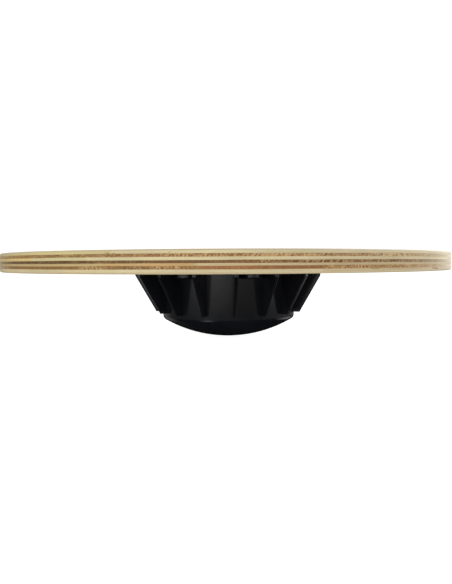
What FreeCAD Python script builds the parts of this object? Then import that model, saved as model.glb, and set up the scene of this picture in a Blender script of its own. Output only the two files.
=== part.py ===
import FreeCAD, Part
import math
import os

# Balance board: a round plywood disc screwed to a one-piece moulded hub with a domed bottom.
# Millimetres and degrees. The origin is the middle of the gate pad, the dome's lowest point.
# +Z is up, -Y is the front.

# ---- Driving dimensions -------------------------------------------------------------------

board_diameter = 400.0
board_edge_round = 1.5

# The veneers from the top down. Long plies have their grain along X, cross plies and faces along Y.
plies = [
    ("top_face_veneer", 0.7),
    ("long_ply_top", 1.9),
    ("cross_ply_upper", 2.0),
    ("long_ply_upper", 1.95),
    ("cross_ply_middle", 1.85),
    ("long_ply_lower", 1.6),
    ("cross_ply_lower", 2.05),
    ("long_ply_bottom", 1.75),
    ("bottom_face_veneer", 1.2),
]

hub_height = 63.0            # from the gate pad to the underside of the board
drum_top_radius = 63.6
drum_bottom_radius = 62.6
dome_rise = 17.85            # from the dome's lowest point to the corner where it meets the drum
rim_round = 4.0
drum_wall = 3.5
dome_wall = 4.5
gate_pad_radius = 4.2        # low flat pad that the moulding gate leaves in the dome's centre
gate_pad_height = 0.45
gate_pad_slope = 3.6         # how far the pad widens for each millimetre upwards

fin_count = 16
first_fin_angle = 5.9        # from the front towards +X: the hub is screwed on at no special angle
fin_top_radius = 88.9
fin_bottom_radius = 69.2
fin_land = 4.9               # short upright edge beside the board
fin_drop = 39.2              # how far the fins reach down from the board
fin_top_thickness = 3.5
fin_bottom_thickness = 2.4
fin_edge_round = 0.7

lug_count = 8                # one in every other bay between the fins
lug_circle_radius = 72.0
lug_end_radius = 9.0
lug_thickness = 6.6
lug_edge_round = 1.2
lug_hole_radius = 2.4
counterbore_radius = 4.6

inner_rib_count = 8
inner_rib_thickness = 2.4
boss_outer_radius = 11.0
boss_inner_radius = 8.0
ring_rib_radius = 36.0
ring_rib_thickness = 2.4

screw_length = 16.0
screw_head_radius = 4.0
screw_head_height = 2.6
screw_head_round = 1.56
screw_thread_radius = 2.1
screw_core_radius = 1.5
screw_pitch = 1.4
screw_tip_length = 3.4
screw_cross_width = 1.0
screw_cross_reach = 2.3
screw_cross_depth = 1.5
screw_shank_root = 0.5       # how far the shank's own solid starts inside the head
pilot_clearance = 0.05

# ---- Worked-out sizes ---------------------------------------------------------------------

board_radius = board_diameter / 2
board_thickness = sum(thickness for name, thickness in plies)
board_underside = hub_height
fin_pitch_angle = 360.0 / fin_count
lug_pitch_angle = 360.0 / lug_count
first_lug_angle = first_fin_angle + fin_pitch_angle / 2
dome_radius = (drum_bottom_radius ** 2 + dome_rise ** 2) / (2 * dome_rise)
dome_centre = gate_pad_height + dome_radius
screw_seat = board_underside - lug_thickness + screw_head_height
up = FreeCAD.Vector(0, 0, 1)
centre = FreeCAD.Vector(0, 0, 0)


# ---- Helpers ------------------------------------------------------------------------------

def front_turn(angle):
    """Turn about Z that takes the +X direction to a place counted from the front towards +X."""
    return angle - 90.0


def turned(shape, angle):
    """A copy of a shape that was drawn along +X, turned to its place around the axis."""
    copy = shape.copy()
    copy.rotate(centre, up, front_turn(angle))
    return copy


def upright_face(points):
    """A flat face in the XZ plane from its (x, z) corners."""
    corners = [FreeCAD.Vector(x, 0, z) for x, z in points]
    return Part.Face(Part.makePolygon(corners + corners[:1]))


def spun(points):
    """The solid that an outline in the XZ plane sweeps in one turn about Z."""
    return upright_face(points).revolve(centre, up, 360)


def plate(points, thickness):
    """A plate standing in the XZ plane, centred on it."""
    face = upright_face(points)
    face.translate(FreeCAD.Vector(0, thickness / 2, 0))
    return face.extrude(FreeCAD.Vector(0, -thickness, 0))


# ---- Board --------------------------------------------------------------------------------

def rounded_board():
    """The whole disc, with its two rim corners rounded."""
    disc = Part.makeCylinder(board_radius, board_thickness, FreeCAD.Vector(0, 0, board_underside))
    rims = [edge for edge in disc.Edges if edge.Length > board_radius and len(edge.Vertexes) == 1]
    return disc.makeFillet(board_edge_round, rims)


def pilot_holes():
    """The holes that the screws sit in, drilled up from the underside."""
    radius = screw_thread_radius + pilot_clearance
    depth = screw_seat + screw_length + pilot_clearance - board_underside
    holes = []
    for number in range(lug_count):
        place = FreeCAD.Vector(lug_circle_radius, 0, board_underside)
        hole = Part.makeCylinder(radius, depth, place)
        holes.append(turned(hole, first_lug_angle + number * lug_pitch_angle))
    return Part.makeCompound(holes), board_underside + depth


def make_plies():
    """The veneers, sliced from the rounded disc and drilled where a screw reaches them."""
    disc = rounded_board()
    holes, hole_top = pilot_holes()
    shapes = {}
    top = board_underside + board_thickness
    for name, thickness in plies:
        slab = Part.makeCylinder(board_radius + 1, thickness, FreeCAD.Vector(0, 0, top - thickness))
        ply = disc.common(slab)
        if top - thickness < hole_top:
            ply = ply.cut(holes)
        shapes[name] = ply
        top -= thickness
    return shapes


# ---- Hub ----------------------------------------------------------------------------------

def dome_and_drum(wall_in, floor_in, corner_round):
    """Drum and dome as one solid, its wall and floor moved inwards and its lower corner rounded."""
    foot = FreeCAD.Vector(drum_bottom_radius - wall_in, 0, gate_pad_height + dome_rise)
    rim = FreeCAD.Vector(drum_top_radius - wall_in, 0, board_underside)
    ball = FreeCAD.Vector(0, 0, dome_centre)
    ball_radius = dome_radius - floor_in
    along = (rim - foot).normalize()
    inwards = FreeCAD.Vector(-along.z, 0, along.x)
    # the corner's centre lies on the wall's parallel and on the ball's, each one rounding away
    start = foot + inwards * corner_round - ball
    reach = start.dot(along)
    gap = start.dot(start) - (ball_radius - corner_round) ** 2
    corner = ball + start + along * (-reach - math.sqrt(reach ** 2 - gap))
    on_wall = corner - inwards * corner_round
    outwards = (corner - ball).normalize()
    on_ball = corner + outwards * corner_round
    between = corner + (outwards - inwards).normalize() * corner_round
    lowest = ball - up * ball_radius
    halfway = ball + (outwards - up).normalize() * ball_radius
    axis_top = FreeCAD.Vector(0, 0, board_underside)
    outline = [
        Part.makeLine(axis_top, rim),
        Part.makeLine(rim, on_wall),
        Part.Arc(on_wall, between, on_ball).toShape(),
        Part.Arc(on_ball, halfway, lowest).toShape(),
        Part.makeLine(lowest, axis_top),
    ]
    return Part.Face(Part.Wire(outline)).revolve(centre, up, 360)


def fin():
    """One radial gusset, thinner towards the floor so that it leaves the mould."""
    low = board_underside - fin_drop
    inner = drum_bottom_radius - drum_wall / 2
    outline = [
        (inner, board_underside),
        (fin_top_radius, board_underside),
        (fin_top_radius, board_underside - fin_land),
        (fin_bottom_radius, low),
        (inner, low),
    ]
    draft = [
        FreeCAD.Vector(0, fin_top_thickness / 2, board_underside),
        FreeCAD.Vector(0, fin_bottom_thickness / 2, low),
        FreeCAD.Vector(0, -fin_bottom_thickness / 2, low),
        FreeCAD.Vector(0, -fin_top_thickness / 2, board_underside),
    ]
    end = Part.Face(Part.makePolygon(draft + draft[:1]))
    wedge = end.extrude(FreeCAD.Vector(2 * fin_top_radius, 0, 0))
    body = plate(outline, 2 * fin_top_thickness).common(wedge)
    # the long edges of the slanted side, and those of the lower side
    slanted = [edge for edge in body.Edges
               if edge.BoundBox.XMin > fin_bottom_radius - 1 and edge.BoundBox.ZLength > 1]
    lower = [edge for edge in body.Edges
             if edge.BoundBox.XLength > 1 and edge.BoundBox.ZMax < low + 0.1]
    return body.makeFillet(fin_edge_round, slanted + lower)


def lug():
    """One screw lug with a round end, before its hole is made."""
    low = board_underside - lug_thickness
    place = FreeCAD.Vector(lug_circle_radius, 0, low)
    end = Part.makeCylinder(lug_end_radius, lug_thickness, place)
    inner = drum_bottom_radius - drum_wall / 2
    corner = FreeCAD.Vector(inner, -lug_end_radius, low)
    web = Part.makeBox(lug_circle_radius - inner, 2 * lug_end_radius, lug_thickness, corner)
    body = end.fuse(web).removeSplitter()
    lower = [edge for edge in body.Edges
             if edge.BoundBox.ZMax < low + 0.1 and edge.BoundBox.XMax > inner + 1]
    return body.makeFillet(lug_edge_round, lower)


def lug_hole():
    """The clearance hole and the counterbore that hides the screw head."""
    low = board_underside - lug_thickness
    place = FreeCAD.Vector(lug_circle_radius, 0, low)
    hole = Part.makeCylinder(lug_hole_radius, lug_thickness, place)
    counterbore = Part.makeCylinder(counterbore_radius, screw_seat - low, place)
    return hole.fuse(counterbore)


def inner_ribs():
    """The boss, ring and webs that carry the board's load to the dome, flush with the rim."""
    boss = Part.makeCylinder(boss_outer_radius, board_underside)
    boss = boss.cut(Part.makeCylinder(boss_inner_radius, board_underside))
    ring = Part.makeCylinder(ring_rib_radius + ring_rib_thickness / 2, board_underside)
    ring = ring.cut(Part.makeCylinder(ring_rib_radius - ring_rib_thickness / 2, board_underside))
    middle = (boss_inner_radius + boss_outer_radius) / 2
    length = drum_bottom_radius - drum_wall / 2 - middle
    corner = FreeCAD.Vector(middle, -inner_rib_thickness / 2, 0)
    web = Part.makeBox(length, inner_rib_thickness, board_underside, corner)
    pitch = 360.0 / inner_rib_count
    webs = [turned(web, first_lug_angle + number * pitch) for number in range(inner_rib_count)]
    return boss.multiFuse([ring] + webs)


def make_hub():
    """The hub: drum, dome, fins and lugs in one moulding, hollow and ribbed inside."""
    skin = dome_and_drum(0, 0, rim_round)
    cavity = dome_and_drum(drum_wall, dome_wall, rim_round / 2)
    ribs = inner_ribs().common(cavity)
    fins = [turned(fin(), first_fin_angle + number * fin_pitch_angle) for number in range(fin_count)]
    lug_angles = [first_lug_angle + number * lug_pitch_angle for number in range(lug_count)]
    lugs = [turned(lug(), angle) for angle in lug_angles]
    pad_top = 2 * gate_pad_height
    pad = Part.makeCone(gate_pad_radius, gate_pad_radius + gate_pad_slope * pad_top, pad_top)
    hub = skin.multiFuse(fins + lugs + [pad]).cut(cavity).fuse(ribs)
    hub = hub.cut(Part.makeCompound([turned(lug_hole(), angle) for angle in lug_angles]))
    return hub.removeSplitter()


# ---- Screws -------------------------------------------------------------------------------

def screw_shank():
    """The threaded shank, with its ridges as rings, and its point."""
    points = [(0, -screw_shank_root), (screw_core_radius, -screw_shank_root)]
    height = 0.0
    while height + screw_pitch <= screw_length - screw_tip_length:
        points.append((screw_core_radius, height))
        points.append((screw_thread_radius, height + screw_pitch / 2))
        height += screw_pitch
    points.append((screw_core_radius, height))
    points.append((0, screw_length))
    return spun(points)


def screw_head():
    """The pan head, with its cross recess, below the seat."""
    low = -screw_head_height
    head = Part.makeCylinder(screw_head_radius, screw_head_height, FreeCAD.Vector(0, 0, low))
    rim = [edge for edge in head.Edges if len(edge.Vertexes) == 1 and edge.BoundBox.ZMax < low / 2]
    head = head.makeFillet(screw_head_round, rim)
    arm = Part.makeBox(2 * screw_cross_reach, screw_cross_width, screw_cross_depth,
                       FreeCAD.Vector(-screw_cross_reach, -screw_cross_width / 2, low))
    other = arm.copy()
    other.rotate(centre, up, 90)
    return head.cut(arm.fuse(other))


def make_screws():
    """The eight pan-head wood screws, point up."""
    screw = screw_head().fuse(screw_shank())
    screw.translate(FreeCAD.Vector(lug_circle_radius, 0, screw_seat))
    placed = [turned(screw, first_lug_angle + number * lug_pitch_angle) for number in range(lug_count)]
    return Part.makeCompound(placed)


# ---- Files --------------------------------------------------------------------------------

os.makedirs("parts", exist_ok=True)
shapes = make_plies()
shapes["hub"] = make_hub()
shapes["screws"] = make_screws()
for name, shape in shapes.items():
    shape.exportStep("parts/" + name + ".step")
    box = shape.BoundBox
    print(name, "solids", len(shape.Solids), "valid", shape.isValid(), "volume", round(shape.Volume),
          "z", round(box.ZMin, 2), round(box.ZMax, 2))
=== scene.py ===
import math

import bmesh
import bpy
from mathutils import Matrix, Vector, noise


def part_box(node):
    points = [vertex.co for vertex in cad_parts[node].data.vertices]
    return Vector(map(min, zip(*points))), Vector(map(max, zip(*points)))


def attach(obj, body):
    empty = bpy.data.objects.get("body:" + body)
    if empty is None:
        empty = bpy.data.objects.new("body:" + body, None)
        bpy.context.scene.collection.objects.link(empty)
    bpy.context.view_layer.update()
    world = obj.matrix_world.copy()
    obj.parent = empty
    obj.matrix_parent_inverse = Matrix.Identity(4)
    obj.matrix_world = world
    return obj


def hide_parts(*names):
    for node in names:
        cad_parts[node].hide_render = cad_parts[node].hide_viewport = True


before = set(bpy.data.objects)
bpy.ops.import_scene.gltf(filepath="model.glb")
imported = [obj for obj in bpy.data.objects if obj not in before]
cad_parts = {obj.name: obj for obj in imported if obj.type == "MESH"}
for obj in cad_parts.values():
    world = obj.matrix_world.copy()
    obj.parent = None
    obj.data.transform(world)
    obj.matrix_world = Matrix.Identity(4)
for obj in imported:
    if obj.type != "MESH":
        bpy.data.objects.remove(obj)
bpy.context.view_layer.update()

# Balance board: a round plywood disc on a black moulded hub with a domed bottom.
# Metres. The origin is the dome's lowest point, +Z is up and -Y is the front.

MM = 0.001

# ---- Sizes --------------------------------------------------------------------------------

# The veneers from the underside up: node, material slot, and the axis that the grain runs along.
PLIES = [
    ("bottom_face_veneer", "face_veneer", "Y"),
    ("long_ply_bottom", "long_grain_ply", "X"),
    ("cross_ply_lower", "cross_grain_ply", "Y"),
    ("long_ply_lower", "long_grain_ply", "X"),
    ("cross_ply_middle", "cross_grain_ply", "Y"),
    ("long_ply_upper", "long_grain_ply", "X"),
    ("cross_ply_upper", "cross_grain_ply", "Y"),
    ("long_ply_top", "long_grain_ply", "X"),
    ("top_face_veneer", "face_veneer", "Y"),
]

rim_round = 1.5 * MM
pilot_radius = 2.15 * MM
pilot_clearance = 0.05 * MM      # between a screw's point and the end of its hole
pilot_steps = 24                 # corners round a pilot hole
rim_steps = 1080                 # corners round the rim of each veneer
rim_rows = 6                     # rows of faces up the rim of each veneer
flat_insets = (3 * MM, 12 * MM, 45 * MM, 90 * MM)   # rings on a veneer's flats, in from the rim

board_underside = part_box("bottom_face_veneer")[0].z
board_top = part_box("top_face_veneer")[1].z
board_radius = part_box("long_ply_upper")[1].x
board_thickness = board_top - board_underside


# ---- Node helpers -------------------------------------------------------------------------

class Nodes:
    """Adds nodes to a tree. A socket given as an input is linked, and any other value is set."""

    def __init__(self, tree):
        self.tree = tree
        tree.nodes.clear()

    def add(self, kind, inputs=None, **settings):
        made = self.tree.nodes.new(kind)
        for name, value in settings.items():
            setattr(made, name, value)
        for name, value in (inputs or {}).items():
            if isinstance(value, bpy.types.NodeSocket):
                self.tree.links.new(value, made.inputs[name])
            else:
                made.inputs[name].default_value = value
        return made

    def math(self, operation, first, second=0.0, third=0.0, clamp=False):
        inputs = {0: first, 1: second, 2: third}
        return self.add("ShaderNodeMath", inputs, operation=operation, use_clamp=clamp).outputs[0]

    def vector(self, operation, first, second=(0, 0, 0)):
        made = self.add("ShaderNodeVectorMath", {0: first, 1: second}, operation=operation)
        return made.outputs["Value" if operation in ("DOT_PRODUCT", "LENGTH") else "Vector"]

    def noise(self, place, scale=1.0, detail=2.0, roughness=0.5, distortion=0.0):
        inputs = {"Vector": place, "Scale": scale, "Detail": detail,
                  "Roughness": roughness, "Distortion": distortion}
        return self.add("ShaderNodeTexNoise", inputs).outputs["Fac"]

    def ramp(self, value, low, high, to_low=0.0, to_high=1.0):
        """A smooth step from to_low to to_high while value goes from low to high."""
        inputs = {"Value": value, "From Min": low, "From Max": high,
                  "To Min": to_low, "To Max": to_high}
        return self.add("ShaderNodeMapRange", inputs, interpolation_type="SMOOTHSTEP").outputs[0]

    def mix(self, factor, first, second, blend="MIX"):
        inputs = {0: factor, 6: first, 7: second}
        return self.add("ShaderNodeMix", inputs, data_type="RGBA", blend_type=blend).outputs[2]

    def combine(self, x, y, z):
        return self.add("ShaderNodeCombineXYZ", {0: x, 1: y, 2: z}).outputs[0]

    def split(self, place):
        return self.add("ShaderNodeSeparateXYZ", {0: place}).outputs

    def millimetres(self):
        """The place on the object, in millimetres."""
        place = self.add("ShaderNodeTexCoord").outputs["Object"]
        inputs = {0: place, "Scale": 1 / MM}
        return self.add("ShaderNodeVectorMath", inputs, operation="SCALE").outputs[0]

    def bump(self, height, distance, strength):
        inputs = {"Height": height, "Distance": distance, "Strength": strength}
        return self.add("ShaderNodeBump", inputs).outputs[0]

    def finish(self, shader_inputs):
        shader = self.add("ShaderNodeBsdfPrincipled", shader_inputs)
        self.add("ShaderNodeOutputMaterial", {"Surface": shader.outputs[0]})


def colour(red, green, blue):
    """A linear colour from its usual 0 to 255 values."""
    def linear(part):
        part /= 255
        return part / 12.92 if part <= 0.04045 else ((part + 0.055) / 1.055) ** 2.4
    return (linear(red), linear(green), linear(blue), 1.0)


def new_material(name):
    material = bpy.data.materials.new(name)
    material.use_nodes = True
    return material, Nodes(material.node_tree)


# ---- Wood ---------------------------------------------------------------------------------

strip_blur = 0.004               # half the width of the change between strips, by the board's width
stroke_turn = 2.9                # radians that a stroke's wave turns in a millimetre
glue_reach = 0.2                 # millimetres from a veneer's face that its glue line fades out in

DEEP_PALE = (0.36, 0.24, 0.11, 1.0)
DEEP_BROWN = (0.10, 0.045, 0.018, 1.0)
LIGHT_FLECK = (0.68, 0.47, 0.22, 1.0)
DARK_FLECK = (0.075, 0.028, 0.009, 1.0)
FIBRE = (0.16, 0.09, 0.04, 1.0)
RIPPLE = (1.0, 0.92, 0.74, 1.0)
GLUE = colour(110, 76, 44)
KNOT_HALO = colour(150, 104, 62)
KNOT = colour(74, 46, 28)


def tinted(base, red, green, blue):
    """A colour with each part scaled, and kept under full white."""
    return tuple(min(1.0, part * scale) for part, scale in zip(base, (red, green, blue))) + (1.0,)


def grain_places(nodes, x, y, grain, seed):
    """Millimetres along the grain and across it, shifted so that no two veneers match."""
    along, across = (x, y) if grain == "X" else (y, x)
    shift = seed * 137.0
    return nodes.math("ADD", along, shift), nodes.math("ADD", across, shift)


def end_grain(nodes, x, y, grain):
    """How far the rim shows end grain: 0 where it runs along the grain, 1 where it cuts across."""
    radius = nodes.math("MAXIMUM", nodes.vector("LENGTH", nodes.combine(x, y, 0.0)), 1.0)
    return nodes.math("ABSOLUTE", nodes.math("DIVIDE", x if grain == "X" else y, radius))


def sized_noise(nodes, places, sizes, **options):
    """Noise with features of these sizes along the grain, across it and up, in millimetres."""
    place = nodes.combine(*(nodes.math("DIVIDE", *pair) for pair in zip(places, sizes)))
    return nodes.noise(place, **options)


def strip_colours(nodes, x, strips):
    """The colour and fleck strength of the strip that a place lies in. A strip starts at its X."""
    span = 2 * board_radius / MM
    part = nodes.math("ADD", nodes.math("DIVIDE", x, span), 0.5)
    ramp = nodes.add("ShaderNodeValToRGB", {0: part})
    stops = ramp.color_ramp.elements
    while len(stops) > 1:
        stops.remove(stops[-1])
    for number, (start, tone, flecks) in enumerate(strips):
        stop = stops[0]
        if number:
            before = stops.new(start / span + 0.5 - strip_blur)
            before.color = strips[number - 1][1][:3] + (strips[number - 1][2],)
            stop = stops.new(start / span + 0.5 + strip_blur)
        stop.color = tone[:3] + (flecks,)
    return ramp.outputs["Color"], ramp.outputs["Alpha"]


def marked(nodes, wood, x, y, z, ragged, marks):
    """The wood with its stains, all at the front. A mark is an ellipse with a ragged edge."""
    at_front = nodes.math("LESS_THAN", y, 0.0)
    for mark_x, mark_z, half_length, half_height, _, tone in marks:
        across_mark = nodes.math("DIVIDE", nodes.math("SUBTRACT", x, mark_x), half_length)
        up_mark = nodes.math("DIVIDE", nodes.math("SUBTRACT", z, mark_z), half_height)
        straight = nodes.vector("LENGTH", nodes.combine(across_mark, up_mark, 0.0))
        away = nodes.math("ADD", straight, nodes.math("MULTIPLY_ADD", ragged, 0.9, -0.45))
        inside = nodes.math("MULTIPLY", nodes.ramp(away, 1.1, 0.75), at_front)
        wood = nodes.mix(nodes.math("MULTIPLY", inside, 0.9), wood, tone)
    return wood


def ply_material(name, grain, seed, strips, other, low, high, marks):
    """One core veneer. Its strips give its look at the front, and other its colour at the sides.

    It is brown with short slanting strokes where the rim cuts across the grain, and pale elsewhere.
    On a cross-grain veneer the brown fades to pale towards the right end: painted light, standing
    in for the wash of light from the right-back.
    """
    material, nodes = new_material(name)
    x, y, z = nodes.split(nodes.millimetres())
    along, across = grain_places(nodes, x, y, grain, seed)
    slant = 0.8 if seed % 2 else -0.7
    leaning = nodes.math("MULTIPLY_ADD", z, slant, across)
    upright, slanted = (along, across, z), (along, leaning, z)

    patch = sized_noise(nodes, upright, (60.0, 30.0, 50.0), detail=3.0)
    layers = sized_noise(nodes, upright, (55.0, 26.0, 0.55), detail=3.0, roughness=0.6)
    fibres = sized_noise(nodes, upright, (22.0, 0.4, 0.35), detail=2.0)
    bend = sized_noise(nodes, slanted, (40.0, 4.0, 3.0), detail=2.0)
    strokes = nodes.math("SINE", nodes.math("ADD", nodes.math("MULTIPLY", leaning, stroke_turn),
                                            nodes.math("MULTIPLY", bend, 9.0)))
    cells = sized_noise(nodes, slanted, (30.0, 0.9, 1.3), detail=2.0, roughness=0.6)
    checks = nodes.math("MULTIPLY_ADD", strokes, 0.035, cells)

    front, flecks = strip_colours(nodes, x, strips)
    spread = sized_noise(nodes, upright, (200.0, 9.0, 40.0), detail=2.0)
    flecks = nodes.math("MULTIPLY", flecks, nodes.ramp(spread, 0.35, 0.6, 0.75, 1.0))
    end = end_grain(nodes, x, y, grain)
    if grain == "X":
        end = nodes.ramp(end, 0.8, 1.0)
        pale, brown = front, other
    else:
        end = nodes.ramp(end, 0.2, 0.72)
        # painted light: the brown end grain fades to pale towards the right end, standing in for
        # the wash of light from the right-back
        end = nodes.math("MULTIPLY", end, nodes.ramp(x, 120.0, 185.0, 1.0, 0.3))
        pale, brown = other, front

    pale = nodes.mix(nodes.ramp(layers, 0.42, 0.75, 0.0, 0.35), pale, DEEP_PALE)
    brown = nodes.mix(nodes.ramp(layers, 0.3, 0.7, 0.0, 0.35), brown, DEEP_BROWN)
    light_check = nodes.math("MULTIPLY", nodes.ramp(checks, 0.5, 0.58), flecks)
    dark_check = nodes.math("MULTIPLY", nodes.ramp(checks, 0.49, 0.4), flecks)
    brown = nodes.mix(nodes.math("MULTIPLY", light_check, 0.7), brown, LIGHT_FLECK)
    brown = nodes.mix(nodes.math("MULTIPLY", dark_check, 0.75), brown, DARK_FLECK)
    wood = nodes.mix(end, pale, brown)
    wood = nodes.mix(nodes.ramp(fibres, 0.35, 0.7, 0.0, 0.12), wood, FIBRE)

    # a thin darker glue line at each face of the veneer
    from_low = nodes.math("ABSOLUTE", nodes.math("SUBTRACT", z, low / MM))
    from_high = nodes.math("ABSOLUTE", nodes.math("SUBTRACT", z, high / MM))
    glue = nodes.ramp(nodes.math("MINIMUM", from_low, from_high), glue_reach, glue_reach / 5)
    wood = nodes.mix(nodes.math("MULTIPLY", glue, 0.2), wood, GLUE)
    shade = nodes.ramp(patch, 0.3, 0.7, 0.9, 1.08)
    wood = nodes.mix(1.0, wood, nodes.combine(shade, shade, shade), "MULTIPLY")
    wood = marked(nodes, wood, x, y, z, checks, marks)

    relief = nodes.math("ADD", nodes.math("MULTIPLY", fibres, 0.4),
                        nodes.math("MULTIPLY", nodes.math("MULTIPLY", checks, end), 0.8))
    nodes.finish({
        "Base Color": wood,
        "Roughness": nodes.ramp(patch, 0.2, 0.8, 0.38, 0.48),
        "Normal": nodes.bump(relief, 0.05 * MM, 0.5),
        "Specular IOR Level": 0.4,
    })
    return material


def knotted(nodes, wood, x, y, knots):
    """The wood with its pin knots. A knot is at X and Y and has a size, all in millimetres."""
    for knot_x, knot_y, size in knots:
        side = nodes.math("SUBTRACT", x, knot_x)
        up_grain = nodes.math("MULTIPLY", nodes.math("SUBTRACT", y, knot_y), 0.45)
        away = nodes.vector("LENGTH", nodes.combine(side, up_grain, 0.0))
        wood = nodes.mix(nodes.ramp(away, 3.2 * size, 0.8 * size, 0.0, 0.5), wood, KNOT_HALO)
        wood = nodes.mix(nodes.ramp(away, size, 0.5 * size), wood, KNOT)
    return wood


def face_material(name, seed, base, figure, rim_colours_with_painted_light, knots):
    """A rotary-cut face veneer: flame figure, fine pores, a few pin knots and a satin lacquer.

    Its rim goes from the first edge colour to the second, towards +X: partly the veneer's own
    colour and partly painted light, darker at the left and lighter to the right where the light
    falls.
    """
    material, nodes = new_material(name)
    x, y, z = nodes.split(nodes.millimetres())
    places = grain_places(nodes, x, y, "Y", seed) + (z,)

    hills = sized_noise(nodes, places, (420.0, 60.0, 4.0),
                        detail=2.0, roughness=0.35, distortion=0.15)
    unevenness = nodes.math("MULTIPLY", sized_noise(nodes, places, (30.0, 6.0, 4.0)), 1.5)
    rings = nodes.math("SINE", nodes.math("MULTIPLY_ADD", hills, 85.0, unevenness))
    rings = nodes.ramp(rings, -0.4, 1.0)
    strength = sized_noise(nodes, places, (180.0, 60.0, 4.0), detail=2.0)
    strength = nodes.ramp(strength, 0.3, 0.7, 0.12, 0.6)
    tone = sized_noise(nodes, places, (150.0, 34.0, 4.0), detail=4.0, roughness=0.6)
    fibres = sized_noise(nodes, places, (26.0, 0.32, 4.0), detail=3.0, roughness=0.65)
    pores = nodes.ramp(sized_noise(nodes, places, (3.2, 0.2, 4.0), detail=1.0), 0.66, 0.74)
    ripple = sized_noise(nodes, places, (7.0, 16.0, 4.0), detail=2.0)

    wood = nodes.mix(nodes.ramp(tone, 0.3, 0.72), base, tinted(base, 0.9, 0.84, 0.74))
    wood = nodes.mix(nodes.math("MULTIPLY", rings, strength), wood, figure)
    wood = nodes.mix(nodes.ramp(fibres, 0.35, 0.75, 0.0, 0.3), wood, tinted(figure, 0.8, 0.76, 0.7))
    wood = nodes.mix(nodes.math("MULTIPLY", pores, 0.35), wood, tinted(figure, 0.45, 0.38, 0.3))
    wood = nodes.mix(nodes.ramp(ripple, 0.4, 0.7, 0.0, 0.12), wood, RIPPLE)
    wood = knotted(nodes, wood, x, y, knots)
    radius = nodes.vector("LENGTH", nodes.combine(x, y, 0.0))
    on_rim = nodes.ramp(radius, (board_radius - 1.1 * rim_round) / MM,
                        (board_radius - 0.7 * rim_round) / MM)
    # painted light: the rounded rim goes from darker at the left to lighter towards +X
    edge = nodes.mix(nodes.ramp(x, -20.0, 110.0), *rim_colours_with_painted_light)
    wood = nodes.mix(nodes.math("MULTIPLY", on_rim, 0.75), wood, edge)

    relief = nodes.math("ADD", nodes.math("MULTIPLY", fibres, 0.35),
                        nodes.math("MULTIPLY", pores, -0.8))
    nodes.finish({
        "Base Color": wood,
        "Roughness": nodes.ramp(tone, 0.2, 0.8, 0.36, 0.5),
        "Normal": nodes.bump(relief, 0.04 * MM, 0.45),
        "Specular IOR Level": 0.45,
        "Coat Weight": 0.3,
        "Coat Roughness": 0.3,
    })
    return material


# ---- Hub and screws -----------------------------------------------------------------------

BLACK = (0.0050, 0.0057, 0.0074, 1.0)
WORN_BLACK = (0.0068, 0.0075, 0.0094, 1.0)
SCUFF = (0.05, 0.05, 0.052, 1.0)
BRIGHT_ZINC = (0.62, 0.64, 0.66, 1.0)
DULL_ZINC = (0.44, 0.45, 0.46, 1.0)


def hub_material():
    """Black moulded plastic with an orange peel, and scuffs where the dome meets the floor."""
    material, nodes = new_material("black_moulded_plastic")
    place = nodes.millimetres()
    peel = nodes.noise(place, 0.9, detail=3.0, roughness=0.6)
    grain = nodes.noise(place, 4.5, detail=2.0)
    cloud = nodes.noise(place, 0.05, detail=3.0)
    along_x = nodes.vector("MULTIPLY", place, (0.25, 5.0, 0.6))
    along_y = nodes.vector("MULTIPLY", place, (4.5, 0.22, 0.6))
    first = nodes.ramp(nodes.noise(along_x, detail=2.0, distortion=0.6), 0.68, 0.74)
    second = nodes.ramp(nodes.noise(along_y, detail=2.0, distortion=0.8), 0.69, 0.75)
    scratches = nodes.math("MAXIMUM", first, second)
    from_foot = nodes.vector("LENGTH", place)
    worn = nodes.math("MULTIPLY", nodes.ramp(from_foot, 30.0, 4.0),
                      nodes.ramp(cloud, 0.3, 0.6, 0.5, 1.0))
    scuff = nodes.math("MULTIPLY", worn, nodes.math("ADD", 0.25, scratches), clamp=True)

    base = nodes.mix(nodes.ramp(cloud, 0.3, 0.7), BLACK, WORN_BLACK)
    base = nodes.mix(nodes.math("MULTIPLY", scuff, 0.5), base, SCUFF)
    rough = nodes.math("ADD", nodes.ramp(cloud, 0.2, 0.8, 0.14, 0.19),
                       nodes.math("MULTIPLY", scuff, 0.25))
    cuts = nodes.math("MULTIPLY", nodes.math("MULTIPLY", scratches, worn), 0.8)
    relief = nodes.math("ADD", peel, nodes.math("MULTIPLY", grain, 0.25))
    relief = nodes.math("SUBTRACT", relief, cuts)
    nodes.finish({
        "Base Color": base,
        "Roughness": rough,
        "Normal": nodes.bump(relief, 0.02 * MM, 0.25),
        "IOR": 1.5,
    })
    return material


def steel_material():
    """Bright zinc plate, faintly brushed, with a duller bloom."""
    material, nodes = new_material("bright_zinc_plate")
    place = nodes.millimetres()
    bloom = nodes.noise(place, 0.8, detail=3.0)
    brushed = nodes.noise(nodes.vector("MULTIPLY", place, (9.0, 1.2, 9.0)), detail=2.0)
    nodes.finish({
        "Base Color": nodes.mix(nodes.ramp(bloom, 0.35, 0.7), BRIGHT_ZINC, DULL_ZINC),
        "Metallic": 1.0,
        "Roughness": nodes.ramp(bloom, 0.3, 0.7, 0.24, 0.42),
        "Normal": nodes.bump(brushed, 0.01 * MM, 0.4),
    })
    return material


# ---- Plywood shapes -----------------------------------------------------------------------

quarter_turn = rim_round * math.pi / 2                            # length of one rounded corner
whole_rim = 2 * quarter_turn + board_thickness - 2 * rim_round    # length of the rim's profile


def along_rim(height):
    """Length along the rounded rim from the underside's flat up to a height above the underside."""
    if height < rim_round:
        return rim_round * math.acos(1 - height / rim_round)
    if height <= board_thickness - rim_round:
        return quarter_turn + height - rim_round
    return whole_rim - rim_round * math.acos(1 - (board_thickness - height) / rim_round)


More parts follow.
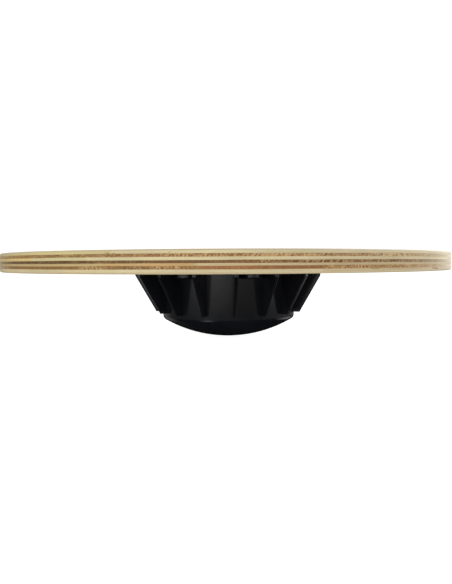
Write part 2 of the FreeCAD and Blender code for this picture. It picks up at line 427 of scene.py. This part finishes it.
def rim_place(length):
    """Radius, height above the underside and outward direction at a length along the rim."""
    if length < quarter_turn:
        angle = length / rim_round
        out, up = math.sin(angle), -math.cos(angle)
        return board_radius - rim_round * (1 - out), rim_round * (1 + up), out, up
    if length > whole_rim - quarter_turn:
        angle = (whole_rim - length) / rim_round
        out, up = math.sin(angle), math.cos(angle)
        return board_radius - rim_round * (1 - out), board_thickness - rim_round * (1 - up), out, up
    return board_radius, rim_round + length - quarter_turn, 1.0, 0.0


def wander(level, azimuth):
    """How far the joint between two veneers strays from level, round the board."""
    if level in (0, len(PLIES)):
        return 0.0
    direction = Vector((math.cos(azimuth), math.sin(azimuth), level * 3.7))
    slow = noise.noise(Vector((direction.x * 3.0, direction.y * 3.0, direction.z)))
    fast = noise.noise(Vector((direction.x * 14.0, direction.y * 14.0, direction.z + 50.0)))
    return (0.14 * slow + 0.06 * fast) * MM


def sanded_depth(azimuth, height, seed):
    """How far the sanded rim lies under the perfect one, in metres."""
    circle = 200.0               # radius in millimetres that the unevenness is laid out on
    x, y = math.cos(azimuth) * circle, math.sin(azimuth) * circle
    coarse = noise.noise(Vector((x * 0.09, y * 0.09, height / MM * 0.3 + seed)))
    fine = noise.noise(Vector((x * 0.7, y * 0.7, height / MM * 1.6 + seed * 5.0)))
    return (0.02 * (1 + coarse) + 0.015 * (1 + fine)) * MM


def gap_depth(place_x, place_y, height, marks):
    """How far a gap reaches in behind the rim, in metres. All the gaps are at the front."""
    for mark_x, mark_z, half_length, half_height, depth, _ in marks:
        along = (place_x / MM - mark_x) / half_length
        up = ((board_underside + height) / MM - mark_z) / half_height
        if depth and place_y < 0 and math.hypot(along, up) < 1:
            return depth * MM
    return 0.0


def screw_tips():
    """Where the screws' points are: one corner near the group's top for each screw."""
    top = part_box("screws")[1].z
    tips = []
    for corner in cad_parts["screws"].data.vertices:
        place = corner.co
        if place.z > top - 0.01 * MM and all((place - tip).length > MM for tip in tips):
            tips.append(place.copy())
    return tips


def ring(mesh, radius, height, steps, centre=(0.0, 0.0)):
    """Corners on a level circle, counted anticlockwise from +X."""
    corners = []
    for step in range(steps):
        angle = 2 * math.pi * step / steps
        corners.append(mesh.verts.new((centre[0] + radius * math.cos(angle),
                                       centre[1] + radius * math.sin(angle), height)))
    return corners


def bridge(mesh, lower, upper):
    """A band of faces between two rings; it faces outwards when the first ring is the lower one."""
    count = len(lower)
    for step in range(count):
        after = (step + 1) % count
        mesh.faces.new((lower[step], lower[after], upper[after], upper[step]))


def loop_edges(mesh, corners):
    """The edges round a ring, made where the ring has none yet."""
    pairs = zip(corners, corners[1:] + corners[:1])
    return [mesh.edges.get(pair) or mesh.edges.new(pair) for pair in pairs]


def sanded_rim(mesh, index, low, high, marks):
    """The rows of corners up one veneer's rim, joined by faces."""
    last = index == len(PLIES) - 1
    rows = []
    for row in range(rim_rows + 1):
        part = row / rim_rows
        corners = []
        for step in range(rim_steps):
            azimuth = 2 * math.pi * step / rim_steps
            start = along_rim(low - board_underside + wander(index, azimuth))
            end = along_rim(high - board_underside + wander(index + 1, azimuth))
            radius, height, out, up = rim_place(start + (end - start) * part)
            flat_end = (index == 0 and row == 0) or (last and row == rim_rows)
            depth = 0.0 if flat_end else sanded_depth(azimuth, height, index)
            x, y = radius * math.cos(azimuth), radius * math.sin(azimuth)
            depth += gap_depth(x, y, height, marks)
            radius -= depth * out
            height -= depth * up
            corners.append(mesh.verts.new((radius * math.cos(azimuth), radius * math.sin(azimuth),
                                           board_underside + height)))
        rows.append(corners)
    for lower, upper in zip(rows, rows[1:]):
        bridge(mesh, lower, upper)
    return rows


def drilled_flat(mesh, rim, height, upwards, tips):
    """One flat side of a veneer, from its rim inwards, with a hole at each tip. Gives the holes."""
    outer = rim
    for inset in flat_insets:
        inner = ring(mesh, board_radius - inset, height, rim_steps)
        if upwards:
            bridge(mesh, outer, inner)
        else:
            bridge(mesh, inner, outer)
        outer = inner
    edges = loop_edges(mesh, outer)
    holes = [ring(mesh, pilot_radius, height, pilot_steps, tip.xy) for tip in tips]
    for hole in holes:
        edges += loop_edges(mesh, hole)
    normal = (0, 0, 1 if upwards else -1)
    bmesh.ops.triangle_fill(mesh, use_beauty=True, edges=edges, normal=normal)
    return holes


def ply_object(index, node, tips, marks):
    """One veneer as a closed disc with a sanded rim, drilled where the screws reach it."""
    mesh = bmesh.new()
    low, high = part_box(node)[0].z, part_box(node)[1].z
    rows = sanded_rim(mesh, index, low, high, marks)
    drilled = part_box("screws")[1].z + pilot_clearance

    lower_holes = drilled_flat(mesh, rows[0], low, False, tips if low < drilled else [])
    upper_holes = drilled_flat(mesh, rows[-1], high, True, tips if high < drilled else [])
    for number, lower in enumerate(lower_holes):
        if upper_holes:
            upper = upper_holes[number]
        else:
            upper = ring(mesh, pilot_radius, drilled, pilot_steps, tips[number].xy)
            mesh.faces.new(upper)
        bridge(mesh, upper, lower)
    bmesh.ops.recalc_face_normals(mesh, faces=mesh.faces)
    data = bpy.data.meshes.new(node + "_wood")
    mesh.to_mesh(data)
    mesh.free()
    data.shade_smooth()
    data.set_sharp_from_angle(angle=math.radians(40))
    made = bpy.data.objects.new(node + "_wood", data)
    bpy.context.scene.collection.objects.link(made)
    return made


# ---- Camera -------------------------------------------------------------------------------

def make_camera():
    """Level with the board's rim, half a metre in front, and rolled by a third of a degree."""
    eye = (0.0157, -0.4966, 0.0697)
    roll = 0.3
    data = bpy.data.cameras.new("camera")
    data.sensor_width = 36.0
    data.lens = 31.617
    data.shift_x = -0.0322
    data.shift_y = -0.0502
    data.clip_start = 0.01
    camera = bpy.data.objects.new("camera", data)
    camera.location = eye
    camera.rotation_euler = (math.radians(90), math.radians(roll), 0.0)
    bpy.context.scene.collection.objects.link(camera)
    bpy.context.scene.camera = camera


# ---- Studio -------------------------------------------------------------------------------

floor_radius = 6.0
floor_steps = 96
floor_glow = 0.96                # the floor's own light, so that it is white round the board
backdrop_white = 1.1             # what the camera sees round the object


def make_floor():
    """A plain white floor under the dome. It has one side only, so the underside can be seen."""
    material, nodes = new_material("white_floor")
    place = nodes.add("ShaderNodeTexCoord").outputs["Object"]
    soft = nodes.noise(place, 3.0, detail=2.0)
    paint = nodes.add("ShaderNodeBsdfPrincipled", {
        "Base Color": nodes.mix(soft, (0.40, 0.40, 0.40, 1.0), (0.42, 0.42, 0.42, 1.0)),
        "Roughness": 0.9,
        "Specular IOR Level": 0.1,
        "Emission Color": (1.0, 1.0, 1.0, 1.0),
        "Emission Strength": floor_glow,
    })
    clear = nodes.add("ShaderNodeBsdfTransparent")
    below = nodes.add("ShaderNodeNewGeometry").outputs["Backfacing"]
    sided = {0: below, 1: paint.outputs[0], 2: clear.outputs[0]}
    mixed = nodes.add("ShaderNodeMixShader", sided)
    nodes.add("ShaderNodeOutputMaterial", {"Surface": mixed.outputs[0]})
    mesh = bmesh.new()
    mesh.faces.new(ring(mesh, floor_radius, 0.0, floor_steps))
    data = bpy.data.meshes.new("floor")
    mesh.to_mesh(data)
    mesh.free()
    data.materials.append(material)
    floor = bpy.data.objects.new("floor", data)
    floor.visible_glossy = False
    floor.visible_diffuse = False
    floor.visible_shadow = False
    bpy.context.scene.collection.objects.link(floor)


def softbox(name, azimuth, height, distance, width, tall, power):
    """An area light aimed at the board's middle, at an angle from the front towards +X."""
    data = bpy.data.lights.new(name, "AREA")
    data.shape = "RECTANGLE"
    data.size = width
    data.size_y = tall
    data.energy = power
    light = bpy.data.objects.new(name, data)
    turn = math.radians(azimuth)
    light.location = (distance * math.sin(turn), -distance * math.cos(turn), height)
    aim = Vector((0, 0, board_underside)) - light.location
    light.rotation_euler = aim.to_track_quat("-Z", "Y").to_euler()
    light.visible_camera = False
    light.visible_glossy = False
    bpy.context.scene.collection.objects.link(light)


def lobe(nodes, direction, azimuth, slope, sharpness, strength):
    """A soft round patch of light, at an angle from the front towards +X and a slope upwards."""
    turn = math.radians(azimuth)
    towards = Vector((math.sin(turn), -math.cos(turn), slope)).normalized()
    facing = nodes.vector("DOT_PRODUCT", direction, tuple(towards))
    spread = nodes.math("POWER", nodes.math("MAXIMUM", facing, 0.0), sharpness)
    return nodes.math("MULTIPLY", spread, strength)


def front_gloss(nodes, direction, z):
    """An even wash with a wide patch at each side, dark below but for two small low patches."""
    front = nodes.math("ADD", 0.24, lobe(nodes, direction, -27, 0.0, 3.5, 1.08))
    front = nodes.math("ADD", front, lobe(nodes, direction, 80, 0.0, 6.0, 0.75))
    front = nodes.math("MULTIPLY", front, nodes.ramp(z, -0.15, -0.03))
    front = nodes.math("ADD", front, nodes.ramp(z, -0.25, -0.1, 0.0, 0.05))
    front = nodes.math("ADD", front, lobe(nodes, direction, -36, -0.42, 110.0, 2.2))
    return nodes.math("ADD", front, lobe(nodes, direction, -135, -0.36, 30.0, 0.4))


def back_gloss(nodes, x, y, z):
    """A backdrop behind the board, brightest at the right, with a low patch at the right."""
    left_end = nodes.math("SUBTRACT", nodes.ramp(x, -0.8, -0.5, 0.1, 0.9),
                          nodes.ramp(x, -0.45, -0.2, 0.0, 0.55))
    right_end = nodes.math("SUBTRACT", nodes.ramp(x, 0.2, 0.42, 0.0, 2.2),
                           nodes.ramp(x, 0.6, 0.8, 0.0, 0.7))
    behind = nodes.math("MULTIPLY", nodes.ramp(y, -0.1, 0.6), nodes.ramp(z, -0.1, -0.04))
    backdrop = nodes.math("MULTIPLY", behind, nodes.math("ADD", left_end, right_end))
    low = nodes.math("MULTIPLY", nodes.ramp(z, -0.18, -0.24), nodes.ramp(z, -0.55, -0.4))
    low = nodes.math("MULTIPLY", nodes.math("MULTIPLY", low, nodes.ramp(x, 0.45, 0.7)), 0.9)
    low = nodes.math("MULTIPLY", low, nodes.ramp(y, 0.0, 0.4))
    return nodes.math("ADD", backdrop, low)


def make_world():
    """White to the eye. Gloss sees soft patches of light, and the rest a dome brighter at +X."""
    world = bpy.data.worlds.new("studio")
    world.use_nodes = True
    bpy.context.scene.world = world
    nodes = Nodes(world.node_tree)
    direction = nodes.add("ShaderNodeTexCoord").outputs["Generated"]
    x, y, z = nodes.split(direction)
    gloss = nodes.math("MAXIMUM", front_gloss(nodes, direction, z), back_gloss(nodes, x, y, z))
    dome = nodes.math("MULTIPLY", nodes.ramp(z, -0.2, 0.6, 0.58, 0.6),
                      nodes.ramp(x, -0.45, 0.45, 0.8, 1.36))
    path = nodes.add("ShaderNodeLightPath").outputs
    seen = nodes.mix(path["Is Glossy Ray"], nodes.combine(dome, dome, dome),
                     nodes.combine(gloss, gloss, gloss))
    white = (backdrop_white, backdrop_white, backdrop_white, 1.0)
    seen = nodes.mix(path["Is Camera Ray"], seen, white)
    background = nodes.add("ShaderNodeBackground", {"Color": seen})
    nodes.add("ShaderNodeOutputWorld", {"Surface": background.outputs[0]})


# ---- Scene --------------------------------------------------------------------------------

make_camera()
make_floor()
make_world()
softbox("key", azimuth=-32, height=0.2, distance=1.3, width=1.1, tall=0.8, power=7.5)
softbox("right_back", azimuth=120, height=0.3, distance=1.1, width=0.9, tall=0.6, power=7.5)

# Each face veneer: seed, its rim's colours at the left and at the right (the lighter right one
# partly painted light), and its knots as (X, Y, size) in millimetres.
FACES = {
    "bottom_face_veneer": (2, (colour(208, 190, 150), colour(220, 205, 165)), [(-84, 118, 1.2)]),
    "top_face_veneer": (10, (colour(192, 175, 138), colour(206, 193, 168)),
                        [(62, 96, 1.3), (-118, -40, 1.0), (24, -142, 0.8)]),
}
FACE_WOOD = colour(232, 213, 170)
FACE_FIGURE = colour(200, 164, 114)

# Each core veneer: seed, its strips at the front as (start X in millimetres, colour, fleck
# strength), and its colour at the sides. The cross-grain strips grow lighter towards +X, partly
# the wood's own colour and partly painted light from the right-back.
CORE = {
    "long_ply_bottom": (3, [(-200, colour(208, 194, 150), 0.5), (-60, colour(216, 201, 160), 0.3),
                            (62, colour(203, 184, 145), 0.6)], colour(146, 106, 68)),
    "cross_ply_lower": (5, [(-200, colour(152, 116, 60), 0.5), (-152, colour(142, 106, 56), 0.2),
                            (-86, colour(170, 130, 74), 1.0), (-69, colour(136, 98, 48), 0.5),
                            (-38, colour(158, 114, 62), 1.0), (-20, colour(151, 105, 54), 0.6),
                            (-11, colour(162, 108, 60), 0.2), (64, colour(188, 142, 86), 1.0)],
                        colour(208, 192, 152)),
    "long_ply_lower": (7, [(-200, colour(196, 168, 114), 0.4), (-150, colour(200, 174, 120), 0.4),
                           (-70, colour(200, 164, 108), 0.3), (-13, colour(207, 187, 144), 0.3),
                           (70, colour(198, 178, 138), 0.5)], colour(138, 100, 64)),
    "cross_ply_middle": (10, [(-200, colour(112, 82, 38), 0.5), (-150, colour(98, 70, 32), 0.3),
                              (-40, colour(108, 72, 34), 0.2), (-4, colour(129, 89, 47), 0.3),
                              (24, colour(142, 100, 54), 0.9), (88, colour(140, 104, 60), 1.0)],
                         colour(204, 188, 146)),
    "long_ply_upper": (13, [(-200, colour(214, 190, 124), 0.4), (-127, colour(208, 196, 146), 0.3),
                            (-82, colour(216, 202, 158), 0.3), (40, colour(215, 199, 158), 0.4)],
                       colour(142, 104, 66)),
    "cross_ply_upper": (16, [(-200, colour(164, 130, 70), 0.4), (-148, colour(156, 120, 66), 0.5),
                             (-104, colour(150, 115, 63), 0.8), (-66, colour(144, 103, 54), 0.6),
                             (-30, colour(176, 134, 84), 0.75), (16, colour(196, 154, 104), 0.85),
                             (96, colour(212, 182, 136), 1.0)], colour(208, 192, 150)),
    "long_ply_top": (19, [(-200, colour(206, 192, 138), 0.4), (-64, colour(216, 204, 162), 0.3),
                          (60, colour(218, 204, 166), 0.4)], colour(146, 106, 68)),
}

# Stains and small gaps at the front: X, height, half length and half height, depth, all in
# millimetres, and colour.
MARKS = {
    "long_ply_top": [(-67, 75.9, 1.7, 0.3, 0.0, colour(140, 98, 58)),
                     (-62.5, 75.7, 1.2, 0.25, 0.0, colour(150, 108, 64)),
                     (-28, 76.1, 1.2, 0.3, 0.0, colour(176, 140, 96))],
    "cross_ply_upper": [(-27, 74.5, 1.4, 0.2, 0.5, colour(78, 50, 28)),
                        (-100, 74.3, 1.2, 0.18, 0.5, colour(84, 56, 30))],
    "cross_ply_middle": [(-83, 70.3, 3.2, 0.3, 0.0, colour(84, 56, 28))],
    "long_ply_bottom": [(151, 65.2, 3.6, 0.6, 0.0, colour(172, 122, 92)),
                        (154, 64.7, 2.2, 0.3, 0.0, colour(130, 86, 68)),
                        (98, 65.8, 3.4, 0.4, 0.0, colour(164, 134, 82))],
}

tips = screw_tips()
for index, (node, slot, grain) in enumerate(PLIES):
    low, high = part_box(node)[0].z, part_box(node)[1].z
    marks = MARKS.get(node, [])
    piece = ply_object(index, node, tips, marks)
    if node in FACES:
        seed, rim_colours_with_painted_light, knots = FACES[node]
        material = face_material(node + "_lacquered", seed, FACE_WOOD, FACE_FIGURE,
                                 rim_colours_with_painted_light, knots)
    else:
        seed, strips, other = CORE[node]
        material = ply_material(node + "_edge", grain, seed, strips, other, low, high, marks)
    piece.data.materials.append(material)
    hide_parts(node)
    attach(piece, "root")

for node, material in (("hub", hub_material()), ("screws", steel_material())):
    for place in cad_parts[node].material_slots:
        place.material = material

bpy.context.scene.view_settings.view_transform = "Standard"
